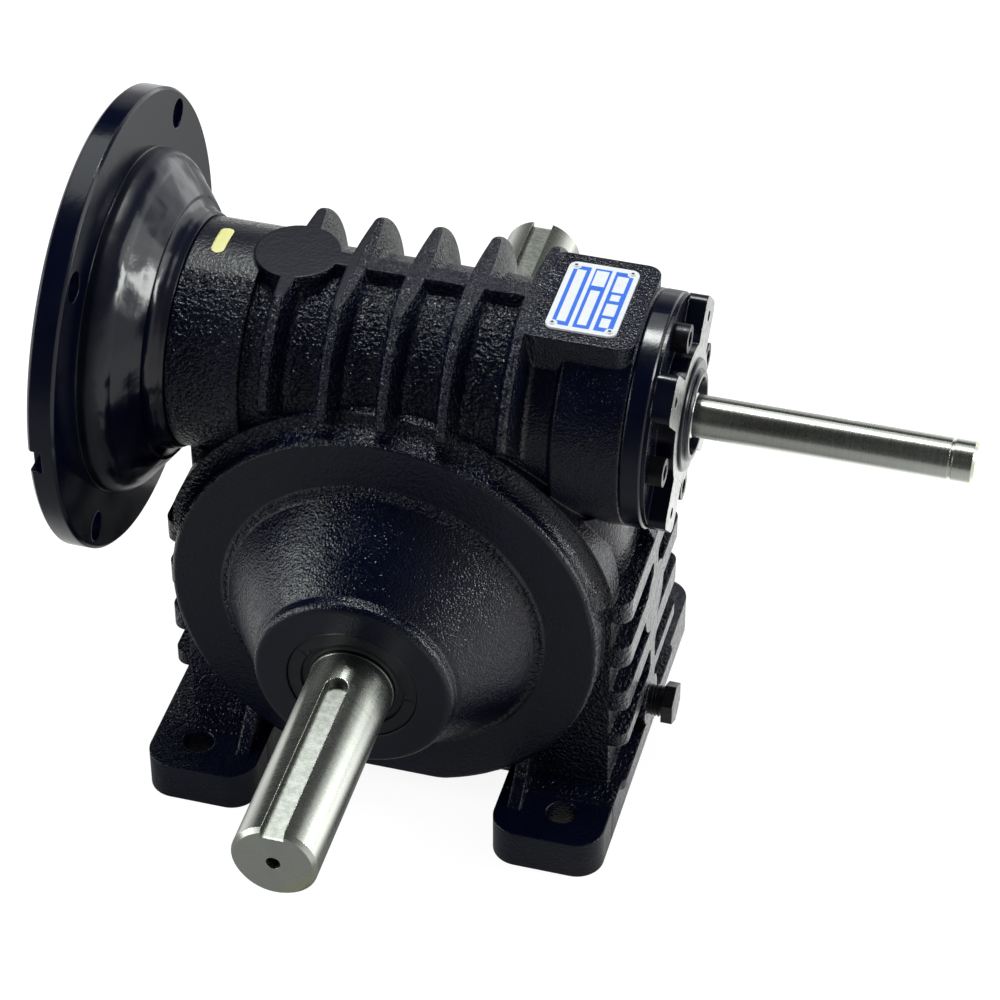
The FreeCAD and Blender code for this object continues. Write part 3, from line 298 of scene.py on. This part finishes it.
def steel(name, axis, tone=(0.62, 0.64, 0.59), rough=0.21, film=None, painted_shade=None):
    """Turned steel: fine rings round the axis, so its light runs in bands along it."""
    m = Surface(name)
    fine, broad = 2600, 5
    rings = m.noise(1.0, 3, 0.7, m.stretched(*(fine if a == axis else broad for a in "xyz")))
    tint = m.ramp(m.plus(rings, m.times(m.noise(60, 4, 0.6), 0.5)), 0.55, 0.95)
    colour = m.mix(tint, tuple(c * 0.93 for c in tone), tone)
    if film:
        colour = m.mix(film(m), colour, (0.62, 0.64, 0.36))
    # Painted shade: where the mask is given, the colour is darkened to near black.
    if painted_shade:
        colour = m.mix(painted_shade(m), colour, (0.06, 0.06, 0.06))
    m.put("Metallic", 1.0)
    m.put("Base Color", colour)
    spots = m.times(m.noise(900, 3, 0.7), 0.10)
    m.put("Roughness", m.plus(m.ramp(rings, 0.3, 0.75, rough, rough + 0.05), spots))
    m.put("Anisotropic", 0.7)
    m.put("Anisotropic Rotation", 0.25)
    around = m.node("ShaderNodeTangent")
    around.direction_type = "RADIAL"
    around.axis = axis.upper()
    m.put("Tangent", around.outputs[0])
    m.put("Normal", m.bump(rings, 0.02, 0.0002, m.soft_edge(0.0003)))
    return m.material


def oily_end(m):
    """Faint yellow film on the lower right of the output shaft's front end."""
    low_right = m.ramp(m.minus(m.x, m.minus(m.z, OUT_H)), 0.010, 0.021)
    return m.times(low_right, m.ramp(m.y, 0.003 - SHAFT_END, 0.0005 - SHAFT_END), 0.75)


def oily_tip(m):
    """Faint yellow film on the tip of the extension."""
    spots = m.ramp(m.noise(260, 2), 0.45, 0.60)
    return m.times(m.ramp(m.x, EXTENSION_END - 0.002, EXTENSION_END - 0.001), spots, 0.8)


def step_and_keyway_shade(m):
    """Painted shade at the output shaft's step under the seals, and on the milled keyway floors in mottled
    patches.
    """
    r = m.from_axis(m.x, OUT_H)
    step = m.ramp(r, SHAFT_R + 0.00002, SHAFT_R + 0.00012)
    milled = m.times(m.ramp(r, SHAFT_R - 0.0005, SHAFT_R - 0.0010),
                     m.ramp(m.math("ABSOLUTE", m.y), SHAFT_END - 0.0006, SHAFT_END - 0.0014))
    mottled = m.ramp(m.noise(420, 3, 0.6), 0.35, 0.65, 0.26, 0.46)
    return m.most(m.times(step, 0.92), m.times(milled, mottled))


def rubber():
    """Satin black rubber of the seals."""
    m = Surface("seal_rubber")
    m.put("Base Color", m.mix(m.noise(300, 3), (0.0045, 0.0060, 0.0110), (0.0080, 0.0100, 0.0160)))
    m.put("Roughness", m.ramp(m.noise(200, 2), 0.3, 0.7, 0.38, 0.50))
    m.put("Normal", m.bump(m.noise(1500, 2), 0.10, 0.0003, m.soft_edge(0.0003)))
    return m.material


def bronze():
    """Turned bronze of the worm wheel's rim."""
    m = Surface("bronze")
    lines = m.noise(1.0, 3, 0.6, m.stretched(8, 700, 8))
    m.put("Base Color", m.mix(lines, (0.42, 0.25, 0.10), (0.62, 0.40, 0.17)))
    m.put("Metallic", 1.0)
    m.put("Roughness", m.ramp(lines, 0.3, 0.7, 0.24, 0.36))
    m.put("Normal", m.bump(lines, 0.08, 0.0002))
    return m.material


def hub_iron():
    """Turned cast iron of the wheel's hub."""
    m = Surface("hub_iron")
    lines = m.noise(1.0, 3, 0.6, m.stretched(8, 500, 8))
    m.put("Base Color", m.mix(lines, (0.09, 0.09, 0.09), (0.16, 0.16, 0.155)))
    m.put("Metallic", 0.9)
    m.put("Roughness", m.ramp(lines, 0.3, 0.7, 0.34, 0.48))
    m.put("Normal", m.bump(lines, 0.10, 0.0003))
    return m.material


# Materials of the screws, gasket, plate and label

def black_steel(name, rim=None):
    """Black oxide; rim gives a mask of edges lightened as wear rubbed bright by tools and as a painted
    highlight.
    """
    m = Surface(name)
    dark = m.mix(m.noise(260, 3), (0.010, 0.010, 0.013), (0.026, 0.026, 0.030))
    m.put("Base Color", m.mix(rim(m), dark, (0.45, 0.46, 0.46)) if rim else dark)
    m.put("Metallic", 0.55)
    m.put("Roughness", m.ramp(m.noise(400, 3), 0.3, 0.7, 0.24, 0.40))
    m.put("Normal", m.bump(m.noise(1200, 2), 0.12, 0.0003, m.soft_edge(0.0005)))
    return m.material


def socket_wear_and_highlight(m):
    """Edges of the four sockets in the end cover's screws, lightened as wear and as a painted highlight.
    """
    side = COVER_SCREW_CIRCLE * math.sqrt(0.5)
    across = m.minus(m.math("ABSOLUTE", m.y), side)
    up = m.minus(m.math("ABSOLUTE", m.minus(m.z, WORM_H)), side)
    ring = m.between(m.length(across, up), 0.00265, 0.00335, 0.00010)
    top = m.ramp(m.x, SCREW_HEAD_TOP - 0.0003, SCREW_HEAD_TOP - 0.0001)
    return m.times(ring, top, m.ramp(m.noise(500, 2), 0.40, 0.55))


def gasket():
    """Dark pressed fibre."""
    m = Surface("gasket_fibre")
    m.put("Base Color", m.mix(m.noise(900, 3), (0.035, 0.032, 0.028), (0.06, 0.055, 0.045)))
    m.put("Roughness", m.ramp(m.noise(500, 2), 0.3, 0.7, 0.7, 0.85))
    m.put("Normal", m.bump(m.noise(1500, 3), 0.3, 0.0003))
    return m.material


def plate_print():
    """White plate with three blue bands and blank white fields."""
    band_length = (-0.0168, 0.0166)
    bands = ((-0.0104, -0.0044), (-0.0030, 0.0028), (0.0042, 0.0106))
    fields = (
        (-0.0090, -0.0058, -0.0146, 0.0146), (-0.0024, 0.0020, 0.0070, 0.0156),
        (-0.0018, 0.0014, -0.0150, 0.0044), (0.0052, 0.0092, 0.0052, 0.0142),
        (0.0056, 0.0088, 0.0004, 0.0038), (0.0052, 0.0092, -0.0080, -0.0014),
        (0.0056, 0.0088, -0.0146, -0.0096),
    )
    rivet_in, soft = 0.0024, 0.00012
    middle, half = (PLATE_LOW + PLATE_HIGH) / 2, (PLATE_HIGH - PLATE_LOW) / 2
    m = Surface("plate_print")
    across = m.minus(m.x, middle.x)

    def patch(x0, x1, y0, y1):
        return m.times(m.between(across, x0, x1, soft), m.between(m.y, y0, y1, soft))

    blue = m.most(*(patch(*band, *band_length) for band in bands))
    rivets = [m.length(m.minus(across, sx * (half.x - rivet_in)), m.minus(m.y, sy * (half.y - rivet_in)))
              for sx in (-1, 1) for sy in (-1, 1)]
    blue = m.times(blue, *(m.ramp(r, 0.0017, 0.0019) for r in rivets))
    dots = m.most(*(m.ramp(r, 0.0007, 0.0005) for r in rivets))
    for field in fields:
        blue = m.math("SUBTRACT", blue, patch(*field), clamp=True)

    wear = m.noise(500, 3)
    white = m.mix(wear, (0.77, 0.79, 0.83), (0.86, 0.88, 0.91))
    print_tone = m.mix(blue, white, m.mix(wear, (0.020, 0.140, 0.72), (0.032, 0.185, 0.84)))
    m.put("Base Color", m.mix(dots, print_tone, (0.05, 0.06, 0.12)))
    m.put("Roughness", m.ramp(wear, 0.3, 0.7, 0.28, 0.40))
    height = m.plus(m.times(blue, 0.3), m.noise(900, 2))
    m.put("Normal", m.bump(height, 0.08, 0.0002, m.soft_edge(0.0002)))
    return m.material


def label_yellow():
    """Yellow film of the blank label."""
    m = Surface("label_yellow")
    m.put("Base Color", m.mix(m.noise(500, 3), (0.84, 0.82, 0.30), (0.97, 0.95, 0.46)))
    m.put("Roughness", m.ramp(m.noise(300, 2), 0.3, 0.7, 0.35, 0.5))
    return m.material


BLACK = black_steel("black_steel")
RUBBER = rubber()
YELLOW = label_yellow()
CAST = casting()
SHAFT_X = steel("steel_x", "x", film=oily_tip)
SHAFT_Y = steel("steel_y", "y", film=oily_end, painted_shade=step_and_keyway_shade)

# A CAD node takes the first material whose word is in its name

MATERIALS = (
    ("housing", CAST),
    ("output_cover", CAST),
    ("motor_flange", turned_black("turned_black", rough_low=0.13, rough_high=0.21, ripple=2.2)),
    ("bearing_disc", turned_black("disc_black", rough_low=0.16, rough_high=0.26, ripple=0.0)),
    ("end_cover_screw", black_steel("black_sockets", socket_wear_and_highlight)),
    ("end_cover", end_cover_black()),
    ("seal", RUBBER),
    ("screw", BLACK),
    ("plug", BLACK),
    ("worm_shaft", SHAFT_X),
    ("snap_ring", SHAFT_X),
    ("output_shaft", SHAFT_Y),
    ("spacer", SHAFT_Y),
    ("wheel_key", SHAFT_Y),
    ("wheel_rim", bronze()),
    ("wheel_hub", hub_iron()),
    ("cover_gasket", gasket()),
    ("name_plate", plate_print()),
    ("bearing", steel("bearing_steel", "y", tone=(0.66, 0.66, 0.67), rough=0.12)),
)

for name, node in frame["nodes"].items():
    node.data.materials.clear()
    node.data.materials.append(next(material for word, material in MATERIALS if word in name))


# Small detail pieces

def new_object(name, bm):
    """Turns the bmesh into an object of that name."""
    mesh = bpy.data.meshes.new(name)
    bm.to_mesh(mesh)
    bm.free()
    obj = bpy.data.objects.new(name, mesh)
    bpy.context.scene.collection.objects.link(obj)
    return obj


def piece(name, bm, material, body):
    """A smooth piece that rides on a CAD body."""
    bmesh.ops.recalc_face_normals(bm, faces=bm.faces)
    obj = new_object(name, bm)
    for face in obj.data.polygons:
        face.use_smooth = True
    obj.data.materials.append(material)
    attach(obj, body)
    return obj


def label():
    """Blank capsule label on the smooth band of the barrel."""
    x_mid, past_top = -0.0700, 0.001
    half_w, half_l = 0.0024, 0.0075
    lift, thick = 0.00015, 0.0002
    least = 1e-5
    rows, columns = 25, 9
    r = BAND_R + lift
    bm = bmesh.new()
    grid = []
    across = [-1 + 2 * j / (columns - 1) for j in range(columns)]
    for i in range(rows):
        along = half_l * (-1 + 2 * i / (rows - 1))
        over = max(0.0, abs(along) - (half_l - half_w))
        wide = math.sqrt(max(0.0, half_w ** 2 - over ** 2)) or least
        a = math.radians(90) - (along + past_top) / r
        y, z = r * math.cos(a), WORM_H + r * math.sin(a)
        grid.append([bm.verts.new((x_mid + share * wide, y, z)) for share in across])
    for row, following in zip(grid, grid[1:]):
        for j in range(columns - 1):
            bm.faces.new((row[j], row[j + 1], following[j + 1], following[j]))
    obj = piece("band_label", bm, YELLOW, "casing")
    solid = obj.modifiers.new("thick", "SOLIDIFY")
    solid.thickness = thick
    solid.offset = 1.0


def thread_ridge():
    """Ridge of the drain plug's thread, on the neck between the body and the head."""
    gap = 0.0001
    last = PLUG_HIGH.x - PLUG_HEAD - gap
    first = PLUG_HIGH.x - PLUG_HEAD - PLUG_NECK + gap
    middle_z = (PLUG_LOW.z + PLUG_HIGH.z) / 2
    pitch, half, crest_half = 0.00125, 0.00050, 0.00008
    core, crest = 0.00540, 0.00595
    steps_per_turn, run_outs = 40, 8.0
    turns = (last - first - 2 * half) / pitch
    steps = int(turns * steps_per_turn)
    bm = bmesh.new()
    rows = []
    for i in range(steps + 1):
        a = 2 * math.pi * turns * i / steps
        x = first + half + pitch * turns * i / steps
        fade = min(1.0, run_outs * i / steps, run_outs * (steps - i) / steps)
        top = core + (crest - core) * fade
        rows.append([bm.verts.new((x + dx, r * math.cos(a), middle_z + r * math.sin(a)))
                     for dx, r in ((-half, core), (-crest_half, top), (crest_half, top), (half, core))])
    for a, b in zip(rows, rows[1:]):
        for j in range(4):
            k = (j + 1) % 4
            bm.faces.new((a[j], a[k], b[k], b[j]))
    bm.faces.new(rows[0])
    bm.faces.new(list(reversed(rows[-1])))
    piece("plug_thread", bm, BLACK, "casing")


def seal_marks():
    """Two small moulded corners on the front seal's face."""
    sunk, proud, half = 0.0001, 0.00016, 0.00026
    r_out, r_in = 0.0221, 0.0192
    corners = ((148.0, -9.0), (-7.0, 9.0))
    bm = bmesh.new()

    def bar(r0, a0, r1, a1):
        start, end = (Vector((r * math.cos(math.radians(a)), 0.0, OUT_H + r * math.sin(math.radians(a))))
                      for r, a in ((r0, a0), (r1, a1)))
        along = (end - start).normalized() * half
        side = Vector((-along.z, 0.0, along.x))
        start, end = start - along, end + along
        foot = Vector((0.0, SEAL_FACE + sunk, 0.0))
        base = [bm.verts.new(p + foot) for p in (start - side, end - side, end + side, start + side)]
        top = [bm.verts.new((v.co.x, SEAL_FACE - proud, v.co.z)) for v in base]
        bm.faces.new(base)
        bm.faces.new(list(reversed(top)))
        for j in range(4):
            k = (j + 1) % 4
            bm.faces.new((base[k], base[j], top[j], top[k]))

    for angle, turn in corners:
        bar(r_out, angle, r_in, angle)
        bar(r_in, angle, r_in, angle + turn)
    piece("seal_marks", bm, RUBBER, "casing")


label()
thread_ridge()
seal_marks()


# Stage, light and camera

def seen(tree, path):
    """1 for rays from the camera and rays through glass."""
    return tree.most(path.outputs["Is Camera Ray"], path.outputs["Is Transmission Ray"])


def floor():
    """Pale floor that keeps the object's shadow and looks white where nothing shades it."""
    half_size, seen_glow = 6.0, 0.90
    bm = bmesh.new()
    bmesh.ops.create_grid(bm, x_segments=1, y_segments=1, size=half_size)
    obj = new_object("floor", bm)
    material = bpy.data.materials.new("floor_paper")
    tree = Tree(material)
    x, y = tree.split(tree.node("ShaderNodeTexCoord").outputs["Object"])[:2]

    # Painted reflection: glow of the paper that only the object's gloss sees, bright beside and behind it,
    # dark under and in front
    right = tree.ramp(x, -0.06, 0.20, 0.25, 1.9)
    back = tree.ramp(y, -0.10, 0.04, 0.03, 0.85)
    far = tree.plus(tree.ramp(y, 0.12, 0.32, 1.0, 0.35), tree.ramp(y, 0.50, 0.80, 0.0, 0.75))
    left = tree.times(tree.ramp(x, -0.12, -0.17, 0.0, 0.70), tree.ramp(y, -0.12, -0.05))
    front = tree.ramp(x, 0.14, 0.20, 0.0, 0.60)
    mirrored = tree.most(tree.times(right, tree.times(back, far)), left, front)

    path = tree.node("ShaderNodeLightPath")
    glossy = tree.times(path.outputs["Is Glossy Ray"], mirrored)
    glow = tree.node("ShaderNodeEmission")
    tree.link((1.0, 1.0, 1.0, 1.0), glow.inputs[0])
    tree.link(tree.most(tree.times(seen(tree, path), seen_glow), glossy), glow.inputs[1])
    paper = tree.node("ShaderNodeBsdfDiffuse")
    tree.link((0.25, 0.25, 0.25, 1.0), paper.inputs[0])
    both = tree.node("ShaderNodeAddShader")
    tree.link(paper.outputs[0], both.inputs[0])
    tree.link(glow.outputs[0], both.inputs[1])
    tree.link(both.outputs[0], tree.node("ShaderNodeOutputMaterial").inputs[0])
    obj.data.materials.append(material)


def world():
    """White background; in reflections it is the white sheet low behind the object, in a dim room."""
    diffuse_level = 0.40
    studio = bpy.data.worlds.new("studio")
    bpy.context.scene.world = studio
    tree = Tree(studio)
    x, y, z = tree.split(tree.node("ShaderNodeTexCoord").outputs["Generated"])
    wide = tree.ramp(x, -0.25, 0.22, 0.35, 1.15)
    sheet = tree.times(tree.ramp(y, 0.10, 0.55), tree.ramp(z, 0.42, 0.18), wide)
    room = tree.times(tree.ramp(x, 0.05, 0.70, 0.06, 0.70), tree.ramp(z, 0.45, 0.05, 0.25, 1.0))
    path = tree.node("ShaderNodeLightPath")
    mirrored = tree.times(tree.most(sheet, room), path.outputs["Is Glossy Ray"])
    plain = tree.times(path.outputs["Is Diffuse Ray"], diffuse_level)
    background = tree.node("ShaderNodeBackground")
    tree.link((1.0, 1.0, 1.0, 1.0), background.inputs[0])
    tree.link(tree.most(seen(tree, path), mirrored, plain), background.inputs[1])
    tree.link(background.outputs[0], tree.node("ShaderNodeOutputWorld").inputs[0])


def lamp(name, azimuth, height, far, wide, tall, radiance):
    """Rectangular softbox that faces the object; angles are in degrees, and azimuth starts at +X."""
    a, e = math.radians(azimuth), math.radians(height)
    aim = Vector((0.0, 0.0, 0.12))
    place = aim + far * Vector((math.cos(e) * math.cos(a), math.cos(e) * math.sin(a), math.sin(e)))
    data = bpy.data.lights.new(name, "AREA")
    data.energy = math.pi * wide * tall * radiance
    data.color = (0.96, 1.0, 0.97)
    data.shape = "RECTANGLE"
    data.size = wide
    data.size_y = tall
    obj = bpy.data.objects.new(name, data)
    bpy.context.scene.collection.objects.link(obj)
    obj.visible_camera = False
    obj.location = place
    obj.rotation_euler = (aim - place).to_track_quat("-Z", "Y").to_euler()


def camera():
    """The photograph's camera, fitted to the places of the object's corners in it."""
    image_px = 1000
    focal_px = 3673.52
    centre_px = (501.23, 523.66)
    sensor = 36.0
    place = Vector((0.2915, -0.95695, 0.95735))
    right = Vector((0.9644, 0.26445, 0.00089)).normalized()
    ahead = Vector((-0.19902, 0.72799, -0.65606)).normalized()
    up = right.cross(ahead).normalized()
    right = ahead.cross(up).normalized()
    data = bpy.data.cameras.new("camera")
    data.sensor_width = sensor
    data.lens = focal_px / image_px * sensor
    data.shift_x = (image_px / 2 - centre_px[0]) / image_px
    data.shift_y = (centre_px[1] - image_px / 2) / image_px
    data.clip_end = 20.0
    obj = bpy.data.objects.new("camera", data)
    bpy.context.scene.collection.objects.link(obj)
    pose = Matrix((right, up, -ahead)).transposed().to_4x4()
    pose.translation = place
    obj.matrix_world = pose
    bpy.context.scene.camera = obj


floor()
world()
lamp("overhead", azimuth=124, height=61, far=1.20, wide=0.95, tall=0.66, radiance=1.6)
lamp("overhead_core", azimuth=110, height=71, far=1.15, wide=0.22, tall=0.22, radiance=30.0)
lamp("left", azimuth=204, height=15, far=1.15, wide=0.85, tall=0.85, radiance=2.0)
lamp("left_core", azimuth=199, height=22, far=1.10, wide=0.18, tall=0.24, radiance=13.0)
lamp("right", azimuth=17, height=15, far=1.15, wide=0.60, tall=1.10, radiance=1.9)
lamp("right_core", azimuth=8, height=18, far=1.10, wide=0.18, tall=0.30, radiance=13.0)
camera()
bpy.context.scene.view_settings.view_transform = "Standard"
